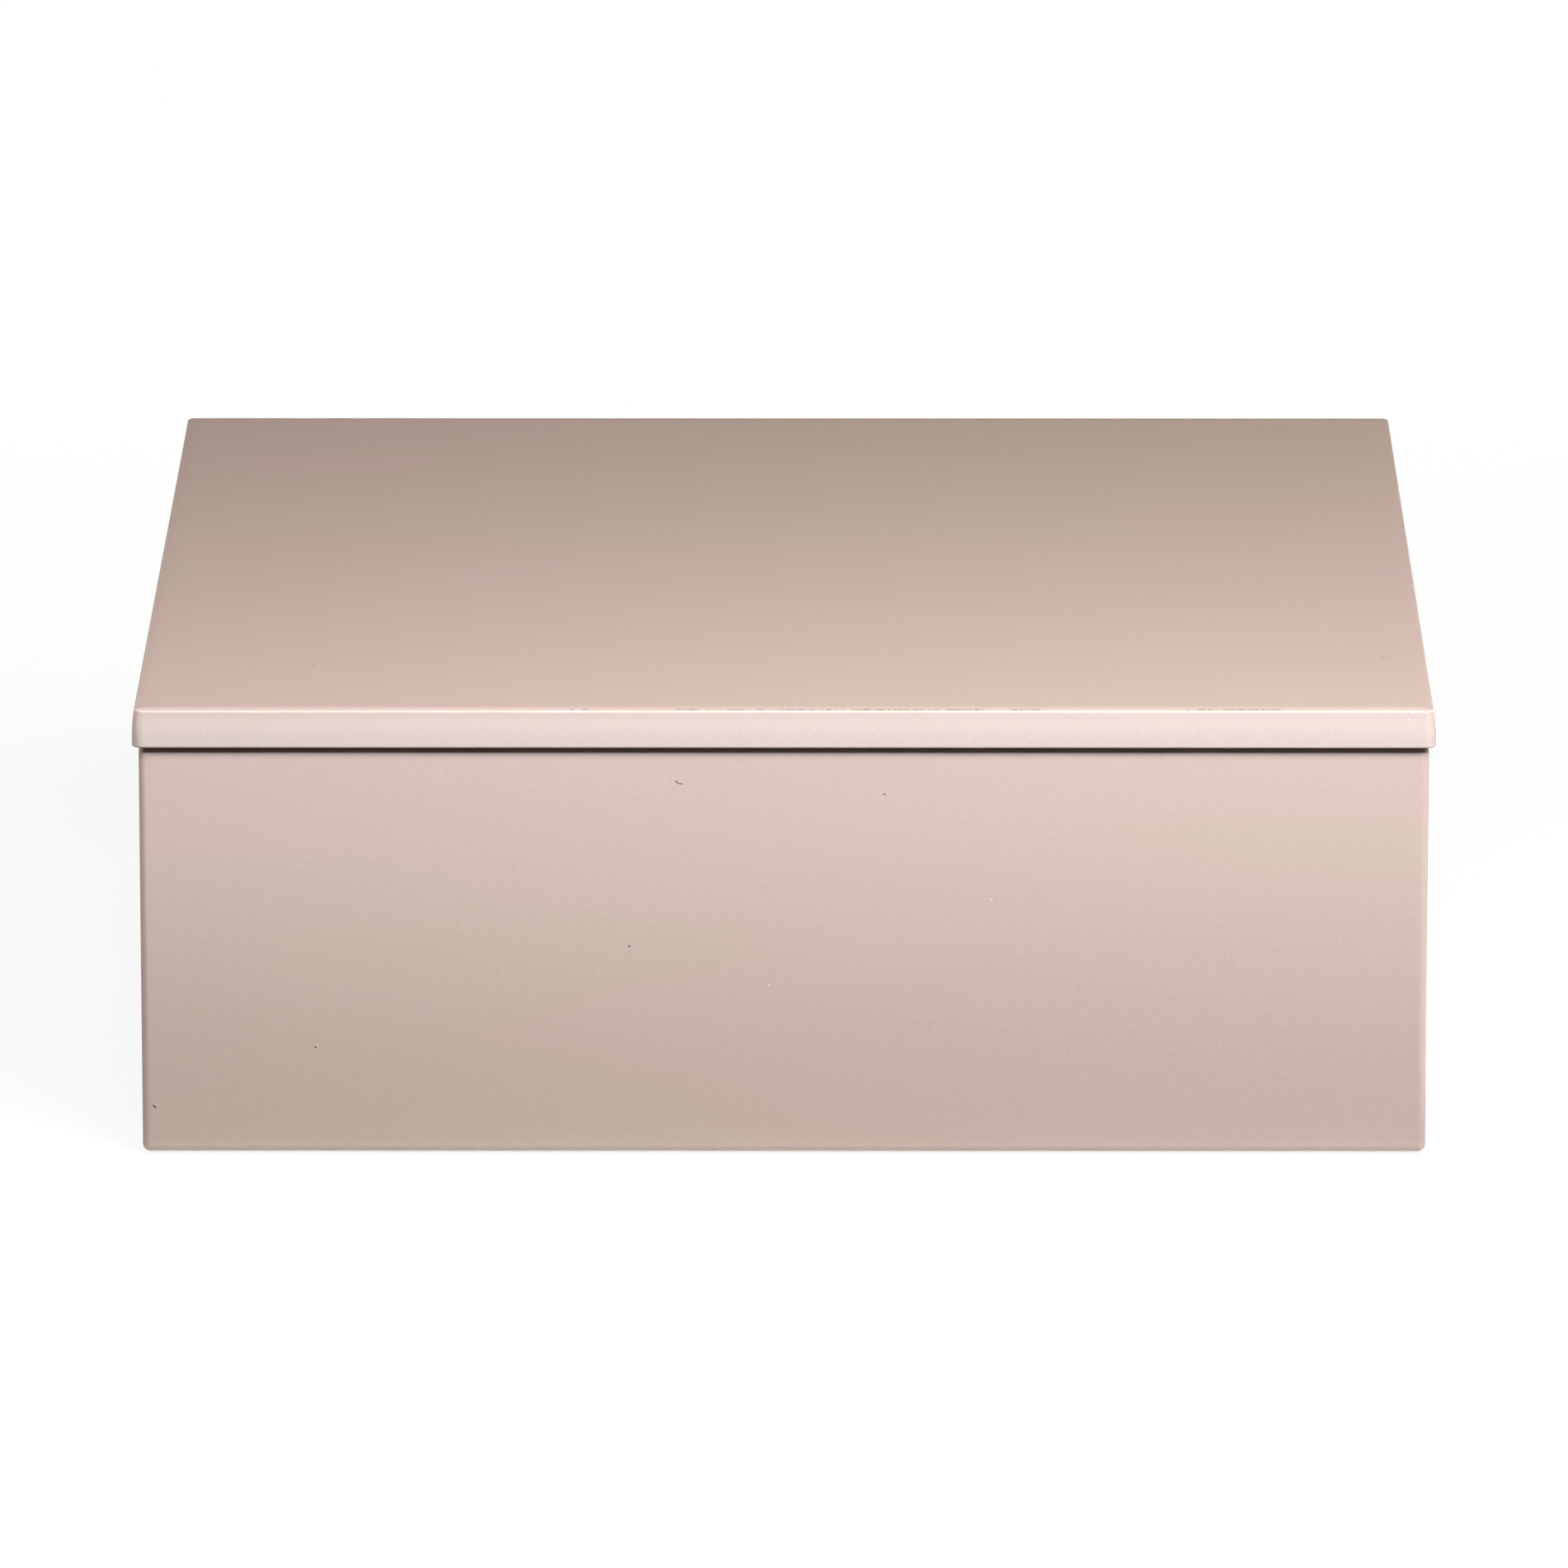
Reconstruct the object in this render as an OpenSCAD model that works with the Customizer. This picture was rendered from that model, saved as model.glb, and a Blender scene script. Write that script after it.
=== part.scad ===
// Lacquered storage box with a lift-off lid.
// Four mitred wall boards stand round a let-in bottom panel, with a hidden key glued across
// each mitre. The lid is one board that lies on the rim, and a mitred frame of four battens
// under it drops inside the walls and keeps it in place. A felt sheet covers the underside.
// Millimetres, +Z up, the origin at the centre of the felt's lower face, the front towards -Y.

/* [Case] */
// Outside width of the case, left to right
case_w = 198.4; // [120:0.1:320]
// Outside depth of the case, front to back
case_d = 198.4; // [120:0.1:320]
// Height of the wall boards
case_h = 64.9; // [40:0.1:150]
// Thickness of the wall boards
wall_t = 6; // [5:0.5:12]
// Radius of the upright outer corners
case_corner_r = 3; // [1.6:0.1:4]
// Radius of the rim's outer edge
rim_outer_r = 1; // [0.4:0.1:1.5]
// Radius of the rim's inner edge
rim_inner_r = 0.6; // [0.3:0.1:2]
// Radius of the lower outer edge
foot_r = 1.2; // [0.4:0.1:1.5]

/* [Bottom] */
// Thickness of the bottom panel
bottom_t = 4; // [3:0.5:8]
// How far the bottom panel is let into each wall
rebate_w = 3; // [1.5:0.5:4]
// Glue gap round the bottom panel
rebate_gap = 0.1; // [0.05:0.05:0.4]
// Thickness of the felt sheet
felt_t = 1.2; // [0.6:0.1:3]
// How far the felt stands out below the walls
felt_proud = 0.2; // [0.1:0.1:0.5]
// Bare border between the felt and the walls
felt_border = 1; // [0.5:0.5:6]

/* [Corner keys] */
// Thickness of a key
key_t = 1.5; // [1:0.1:2]
// Width of a key across the mitre
key_w = 5; // [3:0.5:5]
// Distance from the inner corner to the near face of the key
key_inset = 1.8; // [1.5:0.1:2.5]
// How far below the rim the key groove stops
key_stop = 8; // [4:0.5:20]
// Glue gap round a key
key_gap = 0.05; // [0.02:0.01:0.1]

/* [Lid] */
// Thickness of the lid board
lid_t = 6; // [4:0.1:12]
// How far the lid reaches past the walls
lid_overhang = 1; // [0:0.1:4]
// Radius of the lid's upright corners
lid_corner_r = 3.8; // [1.6:0.1:5]
// Radius of the lid's upper edge
lid_top_r = 0.85; // [0.4:0.05:1.2]
// Radius of the lid's lower edge
lid_under_r = 0.4; // [0.2:0.1:1.5]

/* [Locating frame] */
// Width of a batten
batten_w = 7; // [4:0.5:14]
// Drop of the battens below the lid
batten_h = 8; // [4:0.5:20]
// Clearance between the battens and the walls
batten_gap = 0.7; // [0.3:0.1:1.5]
// Lead-in chamfer on the battens' lower outer edge
batten_lead = 1.5; // [0.5:0.1:3]
// Radius of the battens' lower inner edge
batten_r = 1; // [0.4:0.1:2]

/* [Hidden] */
$fn = 64;
lacquer = "#CDB5AA";
bare_board = "#B58E68";
felt = "#3B3430";
// Overrun of every cut past the face that it opens
cut = 1;

// Heights, from the table up
wall_foot_z = felt_proud;
bottom_z = felt_t;
floor_z = bottom_z + bottom_t;
rim_z = wall_foot_z + case_h;
lid_w = case_w + 2 * lid_overhang;
lid_d = case_d + 2 * lid_overhang;

// A convex outline with a radius at each corner: the chords between the tangent points, and a
// whole circle in each rounded corner, so that every arc stays a true arc.
function unit(v) = v / norm(v);
function turn_before(points, i) = unit(points[(i + len(points) - 1) % len(points)] - points[i]);
function turn_after(points, i) = unit(points[(i + 1) % len(points)] - points[i]);
function half_angle(points, i) = acos(turn_before(points, i) * turn_after(points, i)) / 2;
function tangent_run(points, radii, i) = radii[i] / tan(half_angle(points, i));
function arc_centre(points, radii, i) =
    points[i] + unit(turn_before(points, i) + turn_after(points, i))
    * radii[i] / sin(half_angle(points, i));

module rounded_outline(points, radii) {
    polygon([
        for (i = [0 : len(points) - 1])
            each radii[i] == 0
                ? [points[i]]
                : [
                    points[i] + turn_before(points, i) * tangent_run(points, radii, i),
                    points[i] + turn_after(points, i) * tangent_run(points, radii, i),
                ],
    ]);
    for (i = [0 : len(points) - 1])
        if (radii[i] > 0)
            translate(arc_centre(points, radii, i)) circle(radii[i]);
}

// The section of a board that stands on the axis, with rounded upper and lower edges
module board_section(w, h, top_r, foot_r)
    rounded_outline(
        [[-w / 2, 0], [w / 2, 0], [w / 2, h], [-w / 2, h]],
        [foot_r, foot_r, top_r, top_r]
    );

// A rectangular board whose upright corners and whose upper and lower edges are all rounded:
// one straight run each way and a turned post in each corner
module eased_board(w, d, h, corner_r, top_r, foot_r) {
    rotate([90, 0, 0])
        linear_extrude(d - 2 * corner_r, center = true)
            board_section(w, h, top_r, foot_r);
    rotate([90, 0, 90])
        linear_extrude(w - 2 * corner_r, center = true)
            board_section(d, h, top_r, foot_r);
    for (x = [-1, 1], y = [-1, 1])
        translate([x * (w / 2 - corner_r), y * (d / 2 - corner_r), 0])
            rotate_extrude()
                intersection() {
                    board_section(2 * corner_r, h, top_r, foot_r);
                    square([corner_r, h]);
                }
}

// The ground plan of one side of a mitred frame w by d: side 0 is the front, 1 the right,
// 2 the back and 3 the left. It runs from outside the frame to past its inner face.
module mitre_plan(w, d, side, board_w) {
    along = side % 2 == 0 ? w : d;
    across = side % 2 == 0 ? d : w;
    rotate(90 * side)
        polygon([
            [-along / 2 - cut, -across / 2 - cut],
            [along / 2 + cut, -across / 2 - cut],
            [along / 2 - board_w - cut, -across / 2 + board_w + cut],
            [-along / 2 + board_w + cut, -across / 2 + board_w + cut],
        ]);
}

// What is taken out of the case beside one wall: the inside of the box, the rounded inner edge
// of the rim and the rebate for the bottom panel, as a section with the wall's inner face at 0
module inside_section(reach) {
    translate([0, -cut]) square([reach, case_h + 2 * cut]);
    translate([-rebate_w, -cut]) square([reach, floor_z - wall_foot_z + cut]);
    difference() {
        translate([-rim_inner_r, case_h - rim_inner_r]) square([reach, rim_inner_r + cut]);
        translate([-rim_inner_r, case_h - rim_inner_r]) circle(rim_inner_r);
    }
}

// Places its child at each upright corner of the case, at the inner corner of the mitre,
// with +X along the mitre towards the outer corner
module at_corner(x, y)
    translate([x * (case_w / 2 - wall_t), y * (case_d / 2 - wall_t), 0])
        rotate(atan2(y, x)) children();

// The space of a key, grown by a gap on every side
module key_space(gap) {
    key_foot_z = floor_z + key_gap;
    translate([key_inset - gap, -key_w / 2 - gap, key_foot_z - gap])
        cube([key_t + 2 * gap, key_w + 2 * gap, rim_z - key_stop - key_foot_z + 2 * gap]);
}

// One mitred wall board, with the grooves for its two keys
module wall_board(side) {
    across = side % 2 == 0 ? case_d : case_w;
    color(lacquer)
        difference() {
            intersection() {
                translate([0, 0, wall_foot_z])
                    eased_board(case_w, case_d, case_h, case_corner_r, rim_outer_r, foot_r);
                linear_extrude(rim_z + cut) mitre_plan(case_w, case_d, side, wall_t);
            }
            rotate(90 * side)
                translate([0, -across / 2 + wall_t, wall_foot_z])
                    rotate([90, 0, 90])
                        linear_extrude(2 * (case_w + case_d), center = true)
                            inside_section(across);
            for (x = [-1, 1], y = [-1, 1])
                at_corner(x, y) key_space(key_gap);
        }
}

// The loose key glued into the grooves across one mitre
module corner_key(x, y)
    color(bare_board) at_corner(x, y) key_space(0);

// The bottom panel, let into the rebates of all four walls
module bottom_panel()
    color(lacquer)
        translate([0, 0, bottom_z])
            linear_extrude(bottom_t)
                square([
                    case_w - 2 * (wall_t - rebate_w + rebate_gap),
                    case_d - 2 * (wall_t - rebate_w + rebate_gap),
                ], center = true);

// The felt sheet glued under the bottom panel
module base_felt()
    color(felt)
        linear_extrude(felt_t)
            square([
                case_w - 2 * (wall_t - rebate_w + felt_border),
                case_d - 2 * (wall_t - rebate_w + felt_border),
            ], center = true);

// The lid board, which lies on the rim
module lid_board()
    color(lacquer)
        translate([0, 0, rim_z])
            eased_board(lid_w, lid_d, lid_t, lid_corner_r, lid_top_r, lid_under_r);

// One mitred batten of the locating frame, glued under the lid
module lid_batten(side) {
    frame_w = case_w - 2 * (wall_t + batten_gap);
    frame_d = case_d - 2 * (wall_t + batten_gap);
    across = side % 2 == 0 ? frame_d : frame_w;
    color(lacquer)
        intersection() {
            rotate(90 * side)
                translate([0, -across / 2, rim_z - batten_h])
                    rotate([90, 0, 90])
                        linear_extrude(frame_w + frame_d, center = true)
                            rounded_outline(
                                [
                                    [batten_lead, 0], [batten_w, 0], [batten_w, batten_h],
                                    [0, batten_h], [0, batten_lead],
                                ],
                                [0, batten_r, 0, 0, 0]
                            );
            linear_extrude(rim_z + cut) mitre_plan(frame_w, frame_d, side, batten_w);
        }
}

wall_board(0);  // front_wall
wall_board(2);  // back_wall
wall_board(3);  // left_wall
wall_board(1);  // right_wall
corner_key(-1, -1);  // corner_key_front_left
corner_key(1, -1);  // corner_key_front_right
corner_key(-1, 1);  // corner_key_back_left
corner_key(1, 1);  // corner_key_back_right
bottom_panel();
base_felt();
lid_board();
lid_batten(0);  // lid_batten_front
lid_batten(2);  // lid_batten_back
lid_batten(3);  // lid_batten_left
lid_batten(1);  // lid_batten_right
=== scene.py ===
# %% [markdown]
# # A lacquered storage box
# The box is four mitred walls round a let-in bottom panel, with a flat lid that lifts off. Every
# face is sprayed with the same dusty pink lacquer and polished until it shines. The solid model
# gives the sizes: it is loaded first, in metres, and nothing below moves it. All that this lesson
# adds is what the eye sees: the film of lacquer over the boards, the felt underneath, the light.

from math import asin, cos, degrees, pi, radians, sin, sqrt

import bpy
from mathutils import Matrix, Vector


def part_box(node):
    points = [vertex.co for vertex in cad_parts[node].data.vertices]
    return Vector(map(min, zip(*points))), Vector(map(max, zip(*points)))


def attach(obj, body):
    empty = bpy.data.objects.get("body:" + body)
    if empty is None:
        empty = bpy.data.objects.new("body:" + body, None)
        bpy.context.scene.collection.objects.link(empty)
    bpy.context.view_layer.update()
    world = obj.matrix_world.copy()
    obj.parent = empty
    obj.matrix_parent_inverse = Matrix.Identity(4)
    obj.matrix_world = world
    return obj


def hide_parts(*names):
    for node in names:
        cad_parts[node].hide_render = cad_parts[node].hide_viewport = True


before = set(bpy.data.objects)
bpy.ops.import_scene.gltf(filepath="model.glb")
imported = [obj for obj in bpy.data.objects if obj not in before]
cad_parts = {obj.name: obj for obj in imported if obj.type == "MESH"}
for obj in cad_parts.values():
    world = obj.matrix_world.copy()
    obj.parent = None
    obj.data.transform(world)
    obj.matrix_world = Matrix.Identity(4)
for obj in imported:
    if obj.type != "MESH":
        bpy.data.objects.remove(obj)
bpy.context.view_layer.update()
MM = 0.001

# %% [markdown]
# The sizes that the pieces below need are read from the solid model, so that they follow it. What
# a bounding box can't say is written here. The rim, the foot, the rebate and the battens repeat the
# drawing. The upright corners and the lid's lower edge are sharper than the drawing's 3, 3.8 and
# 0.4 mm, because the photograph's front stays flat almost up to its corners.

# %% Sizes
front_low, front_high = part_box("front_wall")
lid_low, lid_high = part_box("lid_board")
panel_low, panel_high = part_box("bottom_panel")
batten_low, batten_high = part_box("lid_batten_front")
felt_low, felt_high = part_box("base_felt")

case_half = -front_low.y
wall = front_high.y - front_low.y
foot_z, rim_z = front_low.z, front_high.z
lid_half, lid_top_z = lid_high.x, lid_high.z

case_corner_radius = 1.2 * MM
lid_corner_radius = 1.8 * MM
rim_radius = 1 * MM
rim_inner_radius = 0.6 * MM
foot_radius = 1.2 * MM
lid_under_radius = 0.25 * MM
rebate = 3 * MM
batten_lead = 1.5 * MM
batten_radius = 1 * MM
print(f"case {2 * case_half / MM:.1f} mm, lid {2 * lid_half / MM:.1f} mm, top at {lid_top_z / MM:.1f} mm")

# %% [markdown]
# ## The camera
# The photograph was taken from a little above with a long lens: the box tapers by only a few
# pixels from front to back. A pinhole camera was fitted to its straight edges, and it puts them
# within half a pixel. The camera is turned by a matrix whose columns are its own right, up and
# backward directions, which leaves no doubt about the order of the turns.

# %% Camera
camera_place = Vector((8.61, -2322.1, 631.1)) * MM
camera_yaw = radians(0.2204)
camera_pitch = radians(14.4273)
camera_roll = radians(-0.0324)
camera_lens = 342.8

camera_data = bpy.data.cameras.new("camera")
camera_data.sensor_width = 36
camera_data.lens = camera_lens
camera_data.clip_start = 0.05
camera_data.clip_end = 50
camera = bpy.data.objects.new("camera", camera_data)
bpy.context.scene.collection.objects.link(camera)
forward = Vector((-sin(camera_yaw) * cos(camera_pitch), cos(camera_yaw) * cos(camera_pitch),
                  -sin(camera_pitch)))
level_right = Vector((cos(camera_yaw), sin(camera_yaw), 0))
level_up = level_right.cross(forward)
right = cos(camera_roll) * level_right + sin(camera_roll) * level_up
up = cos(camera_roll) * level_up - sin(camera_roll) * level_right
turn = Matrix((right, up, -forward)).transposed().to_4x4()
camera.matrix_world = Matrix.Translation(camera_place) @ turn
bpy.context.scene.camera = camera
bpy.context.scene.view_settings.view_transform = "Standard"
print(f"camera {camera_place.length:.2f} m away, looking down {degrees(camera_pitch):.1f} degrees")

# %% [markdown]
# ## A short hand for nodes
# Materials and Geometry Nodes trees are both graphs of nodes. One helper adds a node and fills its
# inputs: a socket is linked, and anything else is typed in. The others each stand for one node that
# is needed often: arithmetic, a value carried from one range to another, a soft step, cloudy noise
# and the mix of two colours.

# %% Node helpers
def add(tree, kind, inputs=None, **settings):
    made = tree.nodes.new(kind)
    for name, value in settings.items():
        setattr(made, name, value)
    for key, value in (inputs or {}).items():
        if isinstance(value, bpy.types.NodeSocket):
            tree.links.new(value, made.inputs[key])
        else:
            made.inputs[key].default_value = value
    return made


def math(tree, operation, *values):
    return add(tree, "ShaderNodeMath", dict(enumerate(values)), operation=operation).outputs[0]


def remap(tree, value, start, end, low=0.0, high=1.0, curve="LINEAR"):
    return add(tree, "ShaderNodeMapRange", {0: value, 1: start, 2: end, 3: low, 4: high},
               interpolation_type=curve).outputs[0]


def smooth_step(tree, value, start, end, low=0.0, high=1.0):
    return remap(tree, value, start, end, low, high, "SMOOTHSTEP")


def noise(tree, place, scale, detail=2.0, **others):
    inputs = {"Vector": place, "Scale": scale, "Detail": detail, **others}
    return add(tree, "ShaderNodeTexNoise", inputs).outputs[0]


def blend(tree, share, first, second):
    return add(tree, "ShaderNodeMix", {0: share, 6: first, 7: second}, data_type="RGBA").outputs[2]


def new_material(name):
    material = bpy.data.materials.new(name)
    material.use_nodes = True
    material.node_tree.nodes.clear()
    output = add(material.node_tree, "ShaderNodeOutputMaterial")
    return material, material.node_tree, output.inputs["Surface"]


# %% [markdown]
# ## The studio floor
# The picture is a cut-out on white. A white sweep lit to white would throw its own light back at
# the box and wash the lacquer out, so the floor answers three kinds of ray in three ways. To the
# camera it is white, less the soft shadow round the box. To light that bounces it is almost black,
# but for a strip two millimetres wide at the foot, which lights the rounded lower edge. In the
# gloss it is the table of the photograph: bright in front of the box and fading towards its foot,
# with a thin glint right at the foot, bright beside the right corner, and quieter elsewhere. Its
# glow there is about twice white, as lacquer mirrors only a few hundredths of what lies before it.

# %% Floor
floor_reach = 6
floor_bounce = 0.03
floor_glow = (2.0, 2.06, 1.95)
# each fade: where it starts and ends, in metres, and its value before and after
shadow_fade = (0.02, 0.32, 0.1, 0.0)
front_fade = (-0.36, -0.1, 1.0, 0.0)
distance_fade = (-2.5, -0.4, 0.5, 1.05)
right_fade = (0.1, 0.14, 0.0, 1.0)
right_depth_fade = (-0.1, 0.25, 0.85, 0.0)
quiet_fade = (-0.15, 0.4, 0.1, 0.45)
glint_fade = (0.0, 0.003, 1.0, 0.0)
glint_depth_fade = (-0.1, -0.09, 1.0, 0.0)
foot_fade = (0.0, 0.002, 0.7, floor_bounce)


def floor_material():
    material, tree, surface = new_material("studio_floor")
    place = add(tree, "ShaderNodeNewGeometry").outputs["Position"]
    spot = add(tree, "ShaderNodeSeparateXYZ", {0: place}).outputs
    out = math(tree, "MAXIMUM", math(tree, "ABSOLUTE", spot["X"]), math(tree, "ABSOLUTE", spot["Y"]))
    beside = math(tree, "SUBTRACT", out, case_half)
    share = smooth_step(tree, beside, *shadow_fade)
    shadowed = add(tree, "ShaderNodeBsdfDiffuse", {"Color": share})
    white = add(tree, "ShaderNodeEmission", {"Strength": math(tree, "SUBTRACT", 1.0, share)})
    seen = add(tree, "ShaderNodeAddShader", {0: shadowed.outputs[0], 1: white.outputs[0]})
    in_front = math(tree, "MULTIPLY", smooth_step(tree, spot["Y"], *front_fade),
                    smooth_step(tree, spot["Y"], *distance_fade))
    at_right = math(tree, "MULTIPLY", smooth_step(tree, spot["X"], *right_fade),
                    smooth_step(tree, spot["Y"], *right_depth_fade))
    quiet = smooth_step(tree, spot["Y"], *quiet_fade)
    at_foot = math(tree, "MULTIPLY", smooth_step(tree, beside, *glint_fade),
                   smooth_step(tree, spot["Y"], *glint_depth_fade))
    lit = in_front
    for other in (at_right, quiet, at_foot):
        lit = math(tree, "MAXIMUM", lit, other)
    mirrored = add(tree, "ShaderNodeEmission", {"Color": (*floor_glow, 1), "Strength": lit})
    bounce = add(tree, "ShaderNodeBsdfDiffuse", {"Color": smooth_step(tree, beside, *foot_fade)})
    ray = add(tree, "ShaderNodeLightPath").outputs
    unseen = add(tree, "ShaderNodeMixShader", {
        0: ray["Is Glossy Ray"], 1: bounce.outputs[0], 2: mirrored.outputs[0]})
    mixed = add(tree, "ShaderNodeMixShader", {
        0: ray["Is Camera Ray"], 1: unseen.outputs[0], 2: seen.outputs[0]})
    tree.links.new(mixed.outputs[0], surface)
    return material


floor_mesh = bpy.data.meshes.new("floor")
floor_corners = [(x * floor_reach, y * floor_reach, 0) for x, y in ((-1, -1), (1, -1), (1, 1), (-1, 1))]
floor_mesh.from_pydata(floor_corners, [], [(0, 1, 2, 3)])
floor = bpy.data.objects.new("floor", floor_mesh)
bpy.context.scene.collection.objects.link(floor)
floor_mesh.materials.append(floor_material())
print(f"floor {2 * floor_reach} m across")

# %% [markdown]
# ## The room
# Round the floor lies a dark room. The box gets next to no light from it, and the gloss shows it
# almost black, so that each lamp and card below reads clearly. The camera sees it white.

# %% World
room_light, room_mirrored = (0.015, 0.015, 0.013), (0.02, 0.02, 0.02)


def set_world(room, mirrored):
    world = bpy.data.worlds.new("studio")
    bpy.context.scene.world = world
    world.use_nodes = True
    tree = world.node_tree
    tree.nodes.clear()
    ray = add(tree, "ShaderNodeLightPath").outputs
    dim, dark, white = (
        add(tree, "ShaderNodeBackground", {"Color": (*level, 1), "Strength": 1.0}).outputs[0]
        for level in (room, mirrored, (1, 1, 1)))
    unseen = add(tree, "ShaderNodeMixShader", {0: ray["Is Glossy Ray"], 1: dim, 2: dark})
    mixed = add(tree, "ShaderNodeMixShader", {0: ray["Is Camera Ray"], 1: unseen.outputs[0], 2: white})
    output = add(tree, "ShaderNodeOutputWorld")
    tree.links.new(mixed.outputs[0], output.inputs["Surface"])


set_world(room_light, room_mirrored)
print("room light", room_light)

# %% [markdown]
# ## The lamps
# The light was worked out backwards from the photograph: each lamp was rendered alone, and their
# strengths are the mix that comes nearest to its tones. Four lamps in front stand 53 to 58 degrees
# up as seen from the side, which gives the short shadow that the lid's overhang casts on the case.
# Low lamps at the sides and behind light the walls that the photograph hides. They hardly reach
# past the plane of the front, so that next to no light slips under the lid's front edge. The lamps
# don't show in the gloss, and the two cards only show in it: the one overhead draws the bright line
# along the lid's edge, the one behind gives the lid a faint sheen.

# %% Lamps
def soft_box(name, place, aim, size, radiance, is_card):
    lamp = bpy.data.lights.new(name, "AREA")
    lamp.shape = "RECTANGLE"
    lamp.size, lamp.size_y = size
    level = max(radiance)
    lamp.color = [channel / level for channel in radiance]
    lamp.energy = level * pi * size[0] * size[1]
    holder = bpy.data.objects.new(name, lamp)
    bpy.context.scene.collection.objects.link(holder)
    holder.location = place
    holder.rotation_euler = (Vector(aim) - Vector(place)).to_track_quat("-Z", "Y").to_euler()
    holder.visible_camera = False
    holder.visible_diffuse = not is_card
    holder.visible_glossy = is_card


lamps = {
    # place, what it points at, width and height, radiance
    "lamp_key": ((0.5, -0.699, 0.988), (0.1, -0.1, 0.05), (0.6, 0.36), (14.1, 12.6, 8.8)),
    "lamp_near_right": ((0.3, -0.377, 0.42), (0.09, -0.1, 0.05), (0.26, 0.14), (13, 13.9, 16.6)),
    "lamp_near": ((0, -0.285, 0.301), (0, -0.1, 0.05), (0.2, 0.1), (4, 3.5, 4.2)),
    "lamp_fill": ((0, -0.427, 0.568), (0, -0.1, 0.05), (0.36, 0.2), (11.6, 11.8, 12.9)),
    "lamp_side_left": ((-0.7, 0.06, 0.028), (-0.1, 0.06, 0.035), (0.36, 0.055), (40, 36, 34)),
    "lamp_side_right": ((0.7, 0.06, 0.028), (0.1, 0.06, 0.035), (0.36, 0.055), (30, 27, 28)),
    "lamp_behind": ((0, 0.9, 0.05), (0, 0.1, 0.035), (0.7, 0.1), (26, 24, 22)),
}
cards = {
    "card_overhead": ((0, -0.265, 0.62), (0, -0.1, 0.07), (0.6, 0.25), (8, 8, 7.8)),
    "card_behind": ((0, 1.2, 0.74), (0, -0.1, 0.07), (1, 0.5), (0.3, 0.3, 0.3)),
}
for name, settings in (lamps | cards).items():
    soft_box(name, *settings, is_card=name in cards)
print(len(lamps), "lamps and", len(cards), "cards")

# %% [markdown]
# ## The lacquer
# Gloss lacquer is a coloured film that was rubbed flat and polished. What it mirrors is sharp, and
# what tells it from plastic is how little it varies. The hue drifts between rose and beige in long
# faint bands, the way the spray gun swept from left to right, so the noise that mixes the two
# colours is stretched that way. Spraying also leaves a very fine ripple, and wiping a few hazy
# marks. On the lid a paler band is painted along the edge: painted light, standing in for the
# extra light that the lid's edge catches. All of it is worked out from the piece's own coordinates,
# so the lid and the walls carry on into each other, and the finish stays put from every side.

# %% Lacquer
lacquer_rose = (0.618, 0.467, 0.424, 1)
lacquer_beige = (0.594, 0.485, 0.405, 1)
# painted light: the paler tone of the band along the lid's edge, standing in for the light it catches
lacquer_painted_edge_light = (0.655, 0.552, 0.505, 1)
gun_sweep = (0.15, 0.35, 1)
edge_light_start, edge_light_end = 0.8 * MM, 0.3 * MM
speckle_share = 0.03
ripple_height = 0.2 * MM
polished, hazy = 0.05, 0.1


def lacquer_material(name, lit_edge_at=None):
    material, tree, surface = new_material(name)
    place = add(tree, "ShaderNodeTexCoord").outputs["Object"]
    swept = add(tree, "ShaderNodeVectorMath", {0: place, 1: gun_sweep}, operation="MULTIPLY").outputs[0]
    drift = remap(tree, noise(tree, swept, scale=34.0, detail=1.5), 0.3, 0.7)
    colour = blend(tree, drift, lacquer_beige, lacquer_rose)
    if lit_edge_at:
        spot = add(tree, "ShaderNodeSeparateXYZ", {0: place}).outputs
        out = math(tree, "MAXIMUM", math(tree, "ABSOLUTE", spot["X"]), math(tree, "ABSOLUTE", spot["Y"]))
        edge_light = smooth_step(tree, out, lit_edge_at - edge_light_start, lit_edge_at - edge_light_end)
        colour = blend(tree, edge_light, colour, lacquer_painted_edge_light)
    grain = noise(tree, place, scale=1800.0, detail=1.0)
    speckle = remap(tree, grain, 0.2, 0.8, 1 - speckle_share, 1 + speckle_share)
    mottled = add(tree, "ShaderNodeVectorMath", {0: colour, 3: speckle}, operation="SCALE")
    ripple = noise(tree, place, scale=260.0)
    bump = add(tree, "ShaderNodeBump", {"Height": ripple, "Strength": 0.05, "Distance": ripple_height})
    haze = remap(tree, noise(tree, place, scale=30.0, detail=4.0), 0.3, 0.75, polished, hazy)
    shader = add(tree, "ShaderNodeBsdfPrincipled", {
        "Base Color": mottled.outputs[0], "Roughness": haze, "Normal": bump.outputs[0], "IOR": 1.5})
    tree.links.new(shader.outputs[0], surface)
    return material


lacquer = lacquer_material("pink_lacquer")
# the lid's lacquer carries the painted light along its edge band
lid_lacquer_painted_light = lacquer_material("pink_lacquer_lid_painted_light", lid_half)
print(lacquer.name, "and", lid_lacquer_painted_light.name, "made")

# %% [markdown]
# ## A section carried round a square
# The walls, the lid and the frame of battens are all made the way a picture frame is: one section
# runs along a side and turns the corner. The section is a short list of points, how far in from
# the outer face and how high. Geometry Nodes suit this, because one rule places every point of
# every section. All trees below start and end alike, so one helper names a tree's inputs, and
# another puts the finish on what it made.

# %% Start and end a tree
def new_tree(name, inputs):
    tree = bpy.data.node_groups.new(name, "GeometryNodeTree")
    for label, kind in inputs.items():
        tree.interface.new_socket(label, in_out="INPUT", socket_type="NodeSocket" + kind)
    tree.interface.new_socket("Geometry", in_out="OUTPUT", socket_type="NodeSocketGeometry")
    return tree, add(tree, "NodeGroupInput").outputs


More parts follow.
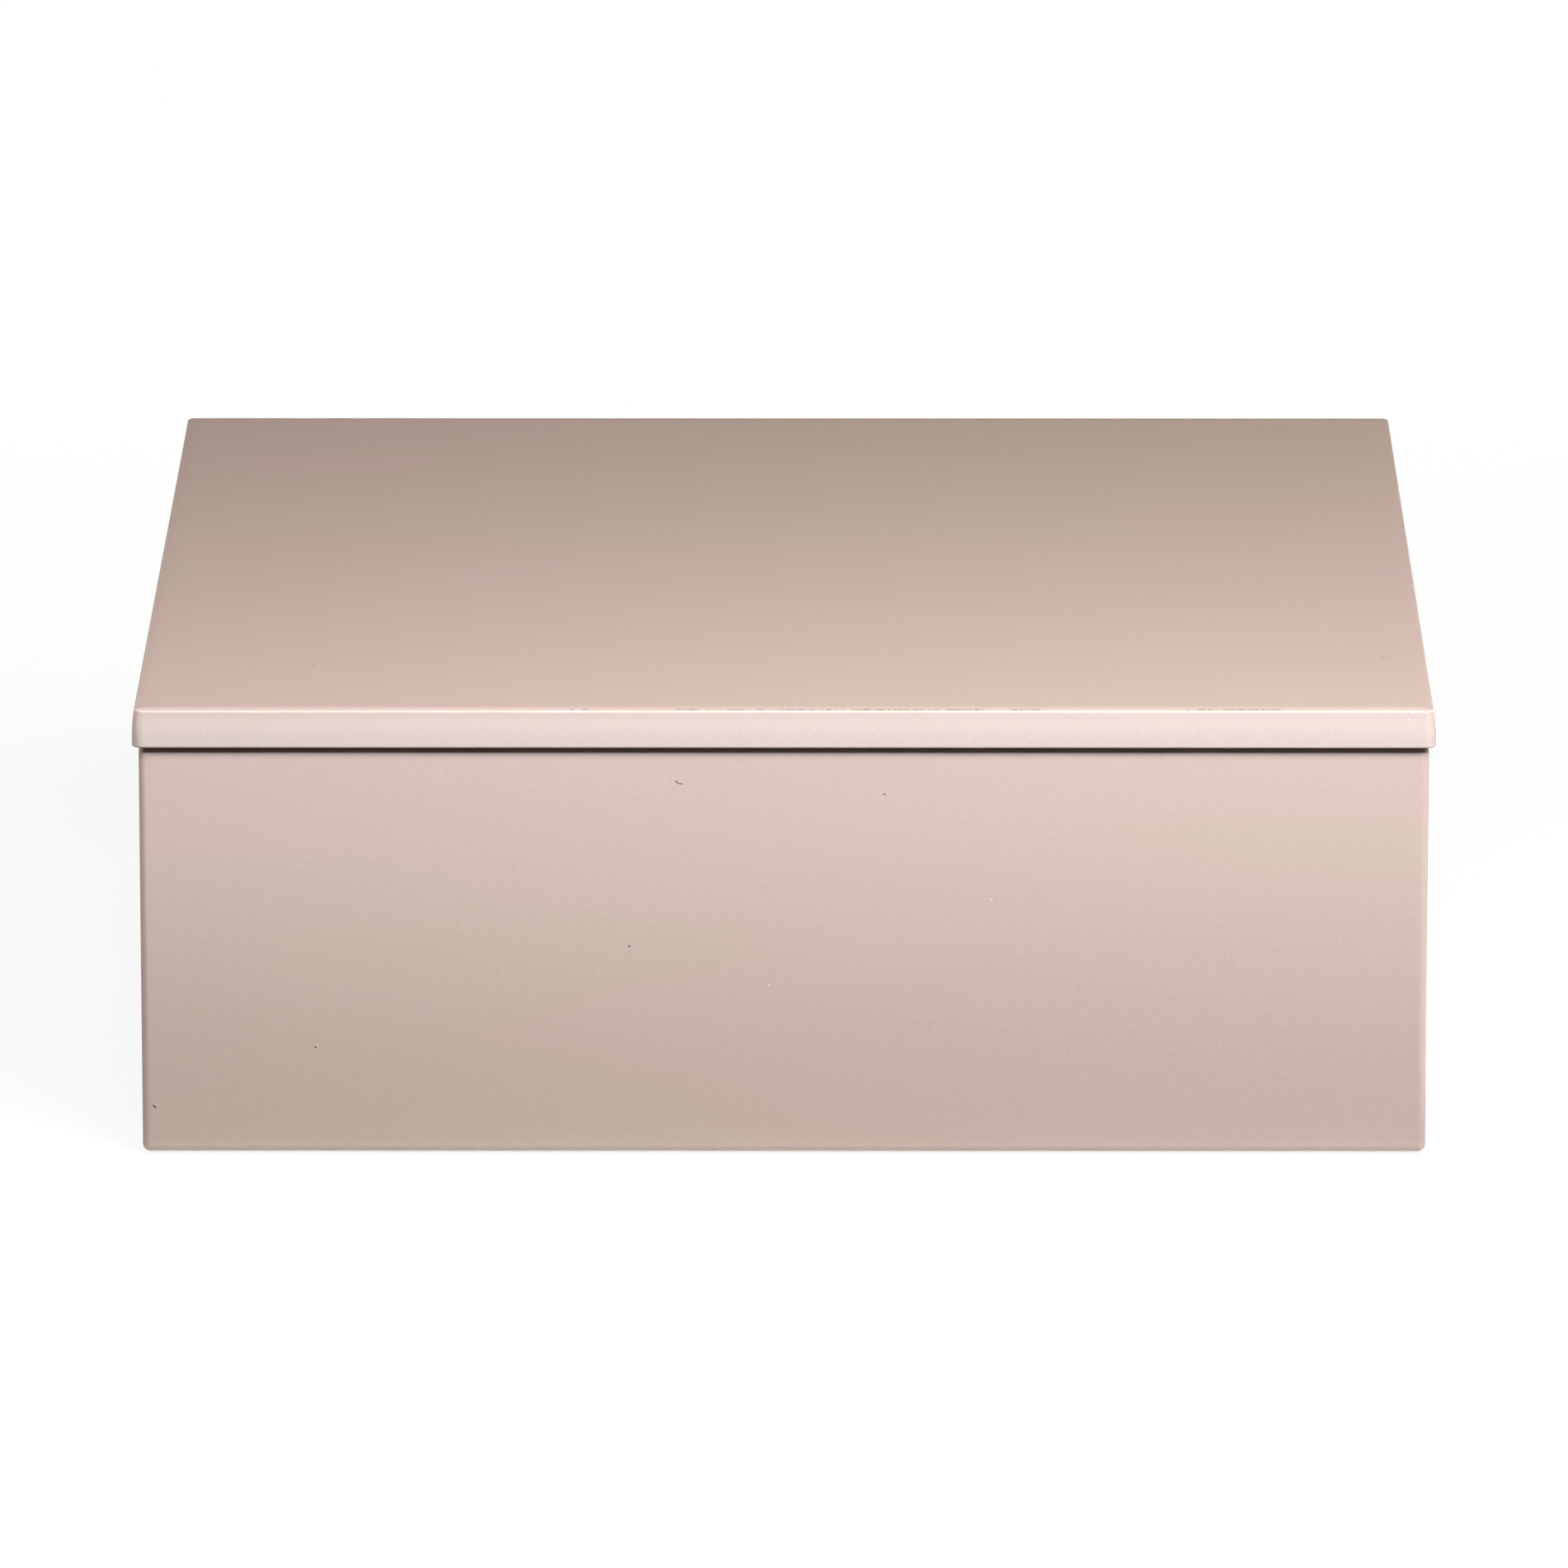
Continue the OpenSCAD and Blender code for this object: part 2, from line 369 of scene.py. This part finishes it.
def end_tree(tree, made, finish):
    painted = add(tree, "GeometryNodeSetMaterial", {"Geometry": made, "Material": finish})
    output = add(tree, "NodeGroupOutput")
    tree.links.new(painted.outputs[0], output.inputs[0])
    print(tree.name, "has", len(tree.nodes), "nodes")
    return tree


# %% [markdown]
# The tree lays a grid. Its rows are the points of the section, and its columns are the stations
# along one side. Each grid point finds its row and its station from its own number, and looks up
# in the section how far in and how high that row lies.

# %% Rows and stations
def rows_and_stations(tree, section, steps):
    stations = math(tree, "MULTIPLY", math(tree, "ADD", steps, 2.0), 2.0)
    rows = add(tree, "GeometryNodeAttributeDomainSize", {0: section}, component="MESH")
    grid = add(tree, "GeometryNodeMeshGrid", {
        "Vertices X": rows.outputs["Point Count"], "Vertices Y": stations}).outputs["Mesh"]
    index = add(tree, "GeometryNodeInputIndex").outputs[0]
    row = math(tree, "FLOOR", math(tree, "DIVIDE", math(tree, "ADD", index, 0.5), stations))
    station = math(tree, "SUBTRACT", index, math(tree, "MULTIPLY", row, stations))
    here = add(tree, "GeometryNodeInputPosition").outputs[0]
    point = add(tree, "GeometryNodeSampleIndex", {"Geometry": section, "Index": row},
                data_type="FLOAT_VECTOR")
    tree.links.new(here, point.inputs["Value"])
    found = add(tree, "ShaderNodeSeparateXYZ", {0: point.outputs[0]}).outputs
    return grid, stations, station, found["X"], found["Z"]


# %% [markdown]
# Stations are counted from the nearer mitre. They follow the corner's arc from the mitre, at 45
# degrees, to the flat, and the last lies a hair further along the flat, which keeps the corner's
# shading from spreading. Where the section lies less than the corner radius in, the corner is an
# arc round one centre, and further in it is a sharp mitre, as on the real box.

# %% A station's place
def place_on_side(tree, given, stations, station, inset, height):
    half, radius, support = given["Half width"], given["Corner radius"], given["Support"]
    steps = given["Corner steps"]
    on_left = math(tree, "LESS_THAN", station, math(tree, "MULTIPLY", stations, 0.5))
    from_far_end = math(tree, "SUBTRACT", math(tree, "SUBTRACT", stations, 1.0), station)
    from_corner = math(tree, "MINIMUM", station, from_far_end)
    turned = math(tree, "MINIMUM", math(tree, "DIVIDE", from_corner, steps), 1.0)
    angle = math(tree, "MULTIPLY", math(tree, "SUBTRACT", 1.0, turned), pi / 4)
    centre = math(tree, "SUBTRACT", half, math(tree, "MAXIMUM", radius, inset))
    arm = math(tree, "MAXIMUM", math(tree, "SUBTRACT", radius, inset), 0.0)
    past_arc = math(tree, "GREATER_THAN", from_corner, steps)
    step_in = math(tree, "MULTIPLY", past_arc, math(tree, "MINIMUM", support, centre))
    reach = math(tree, "ADD", centre, math(tree, "MULTIPLY", arm, math(tree, "SINE", angle)))
    reach = math(tree, "SUBTRACT", reach, step_in)
    side = math(tree, "SUBTRACT", 1.0, math(tree, "MULTIPLY", on_left, 2.0))
    out = math(tree, "ADD", centre, math(tree, "MULTIPLY", arm, math(tree, "COSINE", angle)))
    return add(tree, "ShaderNodeCombineXYZ", {
        "X": math(tree, "MULTIPLY", reach, side), "Y": math(tree, "MULTIPLY", out, -1.0),
        "Z": height}).outputs[0]


# %% [markdown]
# One side is turned to make four, and the points that meet on the mitres are joined. Where two
# faces meet at a steep angle, the edge between them is shaded as a sharp one.

# %% Four sides
same_point = 0.001 * MM
sharp_bend = radians(35)


def round_tree():
    tree, given = new_tree("section_round_a_square", {
        "Geometry": "Geometry", "Half width": "Float", "Corner radius": "Float", "Support": "Float",
        "Corner steps": "Int", "Finish": "Material"})
    grid, *where = rows_and_stations(tree, given["Geometry"], given["Corner steps"])
    one_side = add(tree, "GeometryNodeSetPosition", {
        "Geometry": grid, "Position": place_on_side(tree, given, *where)}).outputs[0]
    four = add(tree, "GeometryNodePoints", {"Count": 4}).outputs[0]
    quarter = math(tree, "MULTIPLY", add(tree, "GeometryNodeInputIndex").outputs[0], pi / 2)
    turned = add(tree, "ShaderNodeCombineXYZ", {"Z": quarter}).outputs[0]
    ring = add(tree, "GeometryNodeInstanceOnPoints", {
        "Points": four, "Instance": one_side, "Rotation": turned}).outputs[0]
    real = add(tree, "GeometryNodeRealizeInstances", {0: ring}).outputs[0]
    joined = add(tree, "GeometryNodeMergeByDistance", {"Geometry": real, "Distance": same_point}).outputs[0]
    smooth = add(tree, "GeometryNodeSetShadeSmooth", {"Geometry": joined, "Shade Smooth": True}).outputs[0]
    bend = add(tree, "GeometryNodeInputMeshEdgeAngle").outputs["Unsigned Angle"]
    sharp = math(tree, "GREATER_THAN", bend, sharp_bend)
    creased = add(tree, "GeometryNodeSetShadeSmooth", {
        "Geometry": smooth, "Selection": sharp, "Shade Smooth": False}, domain="EDGE").outputs[0]
    return end_tree(tree, creased, given["Finish"])


round_a_square = round_tree()

# %% [markdown]
# A tree works on a helper object, which carries it as a modifier and is thrown away afterwards.
# What stays is a plain mesh. The inputs are set before the tree runs for the first time. A section
# becomes such a helper too, a row of loose points: x is how far in each lies, and z is how high.

# %% Run a tree
edge_support = 0.15 * MM
corner_steps = 8


def grown(name, tree, values, helper_mesh):
    helper = bpy.data.objects.new(name + "_seed", helper_mesh)
    bpy.context.scene.collection.objects.link(helper)
    modifier = helper.modifiers.new("grow", "NODES")
    modifier.node_group = tree
    for socket in tree.interface.items_tree:
        if socket.name in values:
            modifier[socket.identifier] = values[socket.name]
    graph = bpy.context.evaluated_depsgraph_get()
    mesh = bpy.data.meshes.new_from_object(helper.evaluated_get(graph))
    mesh.name = name
    piece = bpy.data.objects.new(name, mesh)
    bpy.context.scene.collection.objects.link(piece)
    bpy.data.objects.remove(helper)
    print(name, len(mesh.vertices), "points", len(mesh.polygons), "faces")
    return piece


def carried_round(name, section, half_width, radius, finish):
    points = bpy.data.meshes.new(name + "_section")
    points.from_pydata([(inset, 0, height) for inset, height in section], [], [])
    values = {"Half width": half_width, "Corner radius": radius, "Support": edge_support,
              "Corner steps": corner_steps, "Finish": finish}
    return grown(name, round_a_square, values, points)


# %% [markdown]
# ## The walls
# The section of a wall is drawn from the rim round the outer face, under the foot, up the rebate
# that the bottom panel sits in, and up the inner face. An inset of nought is the outer face. Next
# to each rounded edge lies one more point, a fraction of a millimetre along the flat. It keeps
# the smooth shading of the edge from spreading over the flat beside it. In an arc's angles, 0
# points out of the box and 90 points up.

# %% Walls
def arc(centre, radius, start, end, steps=8):
    turns = [radians(start + (end - start) * step / steps) for step in range(steps + 1)]
    return [(centre[0] - radius * cos(turn), centre[1] + radius * sin(turn)) for turn in turns]


def wall_section():
    s = edge_support
    points = [(wall - rim_inner_radius - s, rim_z), (rim_radius + s, rim_z)]
    points += arc((rim_radius, rim_z - rim_radius), rim_radius, 90, 0)
    points += [(0, rim_z - rim_radius - s), (0, foot_z + foot_radius + s)]
    points += arc((foot_radius, foot_z + foot_radius), foot_radius, 0, -90)
    points += [(foot_radius + s, foot_z), (wall - rebate, foot_z)]
    points += [(wall - rebate, panel_high.z), (wall, panel_high.z)]
    points += [(wall, rim_z - rim_inner_radius - s)]
    points += arc((wall - rim_inner_radius, rim_z - rim_inner_radius), rim_inner_radius, 180, 90)
    return points + points[:1]


walls = carried_round("case_walls", wall_section(), case_half, case_corner_radius, lacquer)
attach(walls, "case")
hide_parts("front_wall", "back_wall", "left_wall", "right_wall")

# %% [markdown]
# ## The lid
# The lid's edge isn't a plain round. Sanding between coats rolls the top off towards its edge on a
# long, shallow curve, then the sandpaper's last strokes leave a narrow bevel, a small nose turns
# over it, and the edge below leans in on another long curve. The bevel is a straight line, and
# the margin's centre lies straight below the point where it leaves the flat. The nose touches the
# bevel and the bow, so its centre is where a line and a circle that run inside them by its radius
# cross. These small faces are what draws the bright line along the lid in the photograph.

# %% Lid
bow_radius = 30 * MM
bow_start_z = lid_low.z + 1.2 * MM
margin_radius = 40 * MM
margin_width = 3.4 * MM
bevel_width = 1.5 * MM
bevel_tilt = 7
nose_radius = 0.34 * MM


def lid_section():
    s = edge_support
    margin_centre = Vector((margin_width, lid_top_z - margin_radius))
    bow_centre = Vector((bow_radius, bow_start_z))
    roll = degrees(asin((margin_width - bevel_width) / margin_radius))
    bevel_top = margin_centre + margin_radius * Vector((-sin(radians(roll)), cos(radians(roll))))
    along = Vector((-cos(radians(bevel_tilt)), -sin(radians(bevel_tilt))))
    inward = Vector((-along.y, along.x))
    start = bevel_top + inward * nose_radius
    away = start - bow_centre
    reach = bow_radius - nose_radius
    run = -away.dot(along) + sqrt(away.dot(along) ** 2 - away.length_squared + reach ** 2)
    centre = start + along * run
    lean = degrees(asin((centre.y - bow_start_z) / reach))
    points = [(lid_half, lid_top_z), (margin_width + s, lid_top_z)]
    points += arc(margin_centre, margin_radius, 90, 90 - roll, 6)
    points += [tuple(bevel_top + along * s), tuple(bevel_top + along * (run - s))]
    points += arc(centre, nose_radius, 90 - bevel_tilt, lean)
    points += arc(bow_centre, bow_radius, lean, 0)[1:]
    points += [(0, lid_low.z + lid_under_radius + s)]
    points += arc((lid_under_radius, lid_low.z + lid_under_radius), lid_under_radius, 0, -90)
    points += [(lid_under_radius + s, lid_low.z), (lid_half, lid_low.z)]
    print(f"margin rolls {roll:.1f} degrees, edge leans {lean:.1f} degrees, bevel {run / MM:.2f} mm")
    return points


lid = carried_round("lid_plate", lid_section(), lid_half, lid_corner_radius, lid_lacquer_painted_light)
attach(lid, "lid")
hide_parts("lid_board")

# %% [markdown]
# ## The battens
# Four thin strips are glued to the lid's underside as a mitred frame. They drop inside the walls
# and stop the lid from sliding off. Their outer lower edge is cut slantwise, so that the lid finds
# its place when it is set down a little askew. The same tree carries their section round, with
# sharp corners.

# %% Battens
def batten_section():
    width = batten_high.y - batten_low.y
    low, high = batten_low.z, batten_high.z
    points = [(0, high), (0, low + batten_lead), (batten_lead, low), (width - batten_radius, low)]
    points += arc((width - batten_radius, low + batten_radius), batten_radius, 270, 180)[1:]
    points += [(width, high)]
    return points + points[:1]


battens = carried_round("lid_battens", batten_section(), -batten_low.y, 0, lacquer)
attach(battens, "lid")
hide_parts("lid_batten_front", "lid_batten_back", "lid_batten_left", "lid_batten_right")

# %% [markdown]
# ## The bottom panel and the corner keys
# Both are right as the solid model has them, so they keep its shapes and only get a finish. The
# panel is lacquered like the walls. The keys are slips of bare wood glued across the mitres. Their
# grain runs along the key, so the noise that stands for the fibres is stretched upwards.

# %% Bottom panel and corner keys
wood_dark, wood_pale = (0.3, 0.19, 0.11, 1), (0.52, 0.36, 0.22, 1)
along_grain = (1, 1, 0.06)


def board_material():
    material, tree, surface = new_material("pale_wood")
    place = add(tree, "ShaderNodeTexCoord").outputs["Object"]
    drawn_out = add(tree, "ShaderNodeVectorMath", {0: place, 1: along_grain}, operation="MULTIPLY")
    fibre = noise(tree, drawn_out.outputs[0], scale=1500.0, detail=3.0)
    bump = add(tree, "ShaderNodeBump", {"Height": fibre, "Strength": 0.3, "Distance": 0.2 * MM})
    shader = add(tree, "ShaderNodeBsdfPrincipled", {
        "Base Color": blend(tree, fibre, wood_dark, wood_pale), "Roughness": 0.7,
        "Normal": bump.outputs[0]})
    tree.links.new(shader.outputs[0], surface)
    return material


def paint(node, material):
    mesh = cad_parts[node].data
    mesh.materials.clear()
    mesh.materials.append(material)


pale_wood = board_material()
paint("bottom_panel", lacquer)
for corner in ("front_left", "front_right", "back_left", "back_right"):
    paint("corner_key_" + corner, pale_wood)
print("bottom panel and four keys painted")

# %% [markdown]
# ## The felt
# A square of wool felt is glued under the box so that the lacquer never touches the table. Felt
# has no weave: the fibres lie every way, so the surface is a soft, uneven nap, and the cut edge
# isn't a clean line. The tree starts from a thin slab of small cells and pushes its underside and
# its edges in by a little noise, never out, so that the felt stays the size it was cut to. Its top
# is glued to the panel and stays flat.

# %% Felt tree
felt_side = felt_high.x - felt_low.x
felt_thickness = felt_high.z - felt_low.z
underside_share, edge_share = 0.25, 0.4999


def felt_tree():
    tree, given = new_tree("felt_slab", {
        "Side": "Float", "Thickness": "Float", "Cells": "Int", "Nap": "Float", "Ragged": "Float",
        "Finish": "Material"})
    side, thick = given["Side"], given["Thickness"]
    size = add(tree, "ShaderNodeCombineXYZ", {"X": side, "Y": side, "Z": thick}).outputs[0]
    slab = add(tree, "GeometryNodeMeshCube", {
        "Size": size, "Vertices X": given["Cells"], "Vertices Y": given["Cells"],
        "Vertices Z": 3}).outputs[0]
    raised = add(tree, "ShaderNodeCombineXYZ", {"Z": math(tree, "MULTIPLY", thick, 0.5)}).outputs[0]
    lifted = add(tree, "GeometryNodeSetPosition", {"Geometry": slab, "Offset": raised}).outputs[0]

    here = add(tree, "GeometryNodeInputPosition").outputs[0]
    spot = add(tree, "ShaderNodeSeparateXYZ", {0: here}).outputs
    nap = noise(tree, here, scale=420.0)
    under = math(tree, "LESS_THAN", spot["Z"], math(tree, "MULTIPLY", thick, underside_share))
    rise = math(tree, "MULTIPLY", math(tree, "MULTIPLY", under, nap), given["Nap"])
    frayed = noise(tree, here, scale=900.0, detail=1.0)
    out = math(tree, "MAXIMUM", math(tree, "ABSOLUTE", spot["X"]), math(tree, "ABSOLUTE", spot["Y"]))
    at_edge = math(tree, "GREATER_THAN", out, math(tree, "MULTIPLY", side, edge_share))
    draw_in = math(tree, "MULTIPLY", math(tree, "MULTIPLY", at_edge, frayed), given["Ragged"])
    inward = math(tree, "DIVIDE", math(tree, "MULTIPLY", draw_in, -2.0), side)
    shift = add(tree, "ShaderNodeCombineXYZ", {
        "X": math(tree, "MULTIPLY", spot["X"], inward), "Y": math(tree, "MULTIPLY", spot["Y"], inward),
        "Z": rise}).outputs[0]
    rough = add(tree, "GeometryNodeSetPosition", {"Geometry": lifted, "Offset": shift}).outputs[0]
    real = add(tree, "GeometryNodeRealizeInstances", {0: rough}).outputs[0]
    return end_tree(tree, real, given["Finish"])


# %% [markdown]
# The finish is two browns in clumps, very rough, with a little sheen from the loose fibre ends. The
# sheet has a point about every millimetre, close enough for its nap to show.

# %% Felt sheet
felt_dark, felt_pale = (0.022, 0.018, 0.016, 1), (0.075, 0.06, 0.052, 1)
felt_cells = 181
felt_nap, felt_ragged = 0.1 * MM, 0.3 * MM


def felt_material():
    material, tree, surface = new_material("wool_felt")
    place = add(tree, "ShaderNodeTexCoord").outputs["Object"]
    clump = noise(tree, place, scale=500.0, detail=4.0, Distortion=1.5)
    bump = add(tree, "ShaderNodeBump", {"Height": clump, "Strength": 0.6, "Distance": 0.4 * MM})
    shader = add(tree, "ShaderNodeBsdfPrincipled", {
        "Base Color": blend(tree, clump, felt_dark, felt_pale), "Roughness": 0.95,
        "Normal": bump.outputs[0], "Sheen Weight": 0.3})
    tree.links.new(shader.outputs[0], surface)
    return material


felt_values = {"Side": felt_side, "Thickness": felt_thickness, "Cells": felt_cells, "Nap": felt_nap,
               "Ragged": felt_ragged, "Finish": felt_material()}
felt = grown("felt_sheet", felt_tree(), felt_values, bpy.data.meshes.new("felt_seed"))
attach(felt, "case")
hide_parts("base_felt")

# %% [markdown]
# ## Dust in the lacquer
# No sprayed finish is perfect. A few specks and one or two short hairs settled while the coats were
# wet, and a line of broken dark dashes runs where the lid's top turns over its front edge. Each mark
# is a flat blister a fraction of a millimetre across, set on the face at a place measured on the
# photograph. Dark ones are dust. Pale ones are nibs of lacquer whose domes catch the light, and
# their pale tone is a painted highlight. Each is a point that carries its size and its turn, and
# the tree sets a dome there.

# %% Marks that were measured
def told(tree, name, kind):
    return add(tree, "GeometryNodeInputNamedAttribute", {"Name": name}, data_type=kind).outputs[0]


def set_out(tree, points, dome, turn, size, **only):
    return add(tree, "GeometryNodeInstanceOnPoints", {
        "Points": points, "Instance": dome, "Rotation": turn, "Scale": size, **only}).outputs[0]


def measured_marks(tree, given, dome):
    return set_out(tree, given["Geometry"], dome, told(tree, "turn", "FLOAT_VECTOR"),
                   told(tree, "size", "FLOAT_VECTOR"), Selection=told(tree, "is_mark", "BOOLEAN"))


# %% [markdown]
# The dashes follow a rule: points at even steps along a few stretches of the edge, of which a
# seeded choice is kept. Each is nudged along by a share of a step and gets its own length and
# width. The length is squared, so that short dashes are common and long ones rare.

# %% Dashes
dash_shortest = 0.15 * MM
dash_nudge = 0.6
dash_narrowest = 0.4


def drawn(tree, seed, low=0.0, high=1.0):
    return add(tree, "FunctionNodeRandomValue", {"Seed": seed, 2: low, 3: high},
               data_type="FLOAT").outputs["Value"]


def dashes(tree, given, dome):
    step, seed = given["Step"], given["Seed"]
    second, third, fourth = (math(tree, "ADD", seed, later) for later in (1.0, 2.0, 3.0))
    stretches = add(tree, "GeometryNodeMeshToCurve", {0: given["Geometry"]}).outputs[0]
    steps = add(tree, "GeometryNodeCurveToPoints", {"Curve": stretches, "Length": step},
                mode="LENGTH").outputs["Points"]
    dropped = math(tree, "GREATER_THAN", drawn(tree, seed), given["Share"])
    kept = add(tree, "GeometryNodeDeleteGeometry", {0: steps, "Selection": dropped}, domain="POINT")
    length = math(tree, "MULTIPLY", math(tree, "POWER", drawn(tree, second), 2.0), given["Longest"])
    across = math(tree, "MULTIPLY", drawn(tree, third, dash_narrowest), given["Across"])
    size = add(tree, "ShaderNodeCombineXYZ", {
        "X": math(tree, "ADD", length, dash_shortest), "Y": across, "Z": given["Proud"]}).outputs[0]
    nudge = math(tree, "MULTIPLY", drawn(tree, fourth, -dash_nudge, dash_nudge), step)
    along = add(tree, "ShaderNodeCombineXYZ", {"X": nudge}).outputs[0]
    strewn = add(tree, "GeometryNodeSetPosition", {"Geometry": kept.outputs[0], "Offset": along}).outputs[0]
    leant = add(tree, "ShaderNodeCombineXYZ", {"X": given["Tilt"]}).outputs[0]
    return set_out(tree, strewn, dome, leant, size)


# %% [markdown]
# Both kinds are the same flat dome, joined in one tree. Its material picks brown for dust and, by a
# number that each mark carries, a pale tone for nibs, which is a painted highlight.

# %% The blister tree and its finish
dust_browns = (0.05, 0.022, 0.02, 1), (0.16, 0.08, 0.07, 1)
# painted highlight: the pale tone of the nibs, on top of the light that their domes catch
nib_painted_highlight = (0.9, 0.84, 0.8, 1)


def blister_tree():
    tree, given = new_tree("blisters", {
        "Geometry": "Geometry", "Step": "Float", "Share": "Float", "Longest": "Float",
        "Across": "Float", "Proud": "Float", "Tilt": "Float", "Seed": "Int", "Finish": "Material"})
    dome = add(tree, "GeometryNodeMeshUVSphere", {"Segments": 12, "Rings": 6, "Radius": 0.5}).outputs[0]
    both = add(tree, "GeometryNodeJoinGeometry")
    tree.links.new(measured_marks(tree, given, dome), both.inputs[0])
    tree.links.new(dashes(tree, given, dome), both.inputs[0])
    real = add(tree, "GeometryNodeRealizeInstances", {0: both.outputs[0]}).outputs[0]
    smooth = add(tree, "GeometryNodeSetShadeSmooth", {"Geometry": real, "Shade Smooth": True}).outputs[0]
    return end_tree(tree, smooth, given["Finish"])


def dust_and_highlight_material():
    material, tree, surface = new_material("dust_and_nib_highlights")
    pale = add(tree, "ShaderNodeAttribute", attribute_name="pale").outputs["Fac"]
    place = add(tree, "ShaderNodeTexCoord").outputs["Object"]
    dark = blend(tree, noise(tree, place, scale=4000.0), *dust_browns)
    # pale marks get the painted highlight tone, the rest the brown of dust
    colour = blend(tree, pale, dark, nib_painted_highlight)
    shader = add(tree, "ShaderNodeBsdfPrincipled", {"Base Color": colour, "Roughness": 0.35})
    tree.links.new(shader.outputs[0], surface)
    return material


blisters = blister_tree()
dust = dust_and_highlight_material()

# %% [markdown]
# The marks are listed one by one, because where dust fell follows no rule. A pale nib stands half as
# proud as a speck of dust. Of the dashes only the ends of their stretches are given, and the tree
# does the rest. The case gets one mesh of marks and the lid another, so that they move with them.

# %% Marks
mark_proud = 0.03 * MM
dash_step, dash_longest, dash_across = 0.42 * MM, 1.1 * MM, 0.36 * MM
dash_share = 0.75
dash_seed = 3
front_face, top_face = "front", "top"
case_marks = [
    # place in millimetres, the face it is on, length, width, turn in degrees, pale
    ((-16.4, -99.2, 59.5), front_face, 0.8, 0.2, -48, 0),
    ((-15.8, -99.2, 59.25), front_face, 0.7, 0.18, -8, 0),
    ((15.5, -99.2, 57.6), front_face, 0.5, 0.2, -38, 0),
    ((-23.8, -99.2, 33.4), front_face, 0.32, 0.28, 0, 0),
    ((-72.3, -99.2, 17.2), front_face, 0.34, 0.3, 80, 0),
    ((-97.3, -99.2, 7.7), front_face, 0.75, 0.25, -45, 0),
    ((32, -99.2, 40.9), front_face, 0.28, 0.26, 0, 1),
    ((-2.3, -99.2, 27.2), front_face, 0.3, 0.28, 0, 1),
]
lid_marks = [
    ((-73.1, -71.8, 71.1), top_face, 0.9, 0.25, 15, 0),
    ((93.2, -66.3, 71.1), top_face, 0.8, 0.35, -20, 0),
    ((95.9, -100, 69.7), front_face, 0.3, 0.28, 0, 1),
]
# the dashes' line and the ends of its stretches, in millimetres too
dash_y, dash_z = -99.12, 71.01
dash_stretches = [(-33, -29.5), (-16.5, 31.7), (34.8, 39.3), (62, 76.4)]


def dusted(name, marks, stretches, finish):
    ends = [(x, dash_y, dash_z) for stretch in stretches for x in stretch]
    spots = [place for place, *rest in marks] + ends
    mesh = bpy.data.meshes.new(name + "_seed")
    pairs = [(len(marks) + 2 * i, len(marks) + 2 * i + 1) for i in range(len(stretches))]
    mesh.from_pydata([tuple(v * MM for v in spot) for spot in spots], pairs, [])
    for label, kind in (("size", "FLOAT_VECTOR"), ("turn", "FLOAT_VECTOR"), ("pale", "FLOAT"),
                        ("is_mark", "BOOLEAN")):
        mesh.attributes.new(label, kind, "POINT")
    notes = mesh.attributes
    for i, (place, side, length, width, degrees_round, pale) in enumerate(marks):
        about = radians(degrees_round)
        notes["size"].data[i].vector = (length * MM, width * MM, (2 - pale) * mark_proud)
        notes["turn"].data[i].vector = (pi / 2, -about, 0) if side == front_face else (0, 0, about)
        notes["pale"].data[i].value = pale
        notes["is_mark"].data[i].value = True
    values = {"Step": dash_step, "Share": dash_share, "Longest": dash_longest, "Across": dash_across,
              "Proud": 2 * mark_proud, "Tilt": radians(bevel_tilt), "Seed": dash_seed, "Finish": finish}
    return grown(name, blisters, values, mesh)


case_dust = dusted("dust_on_case", case_marks, [], dust)
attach(case_dust, "case")
lid_dust = dusted("dust_on_lid", lid_marks, dash_stretches, dust)
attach(lid_dust, "lid")
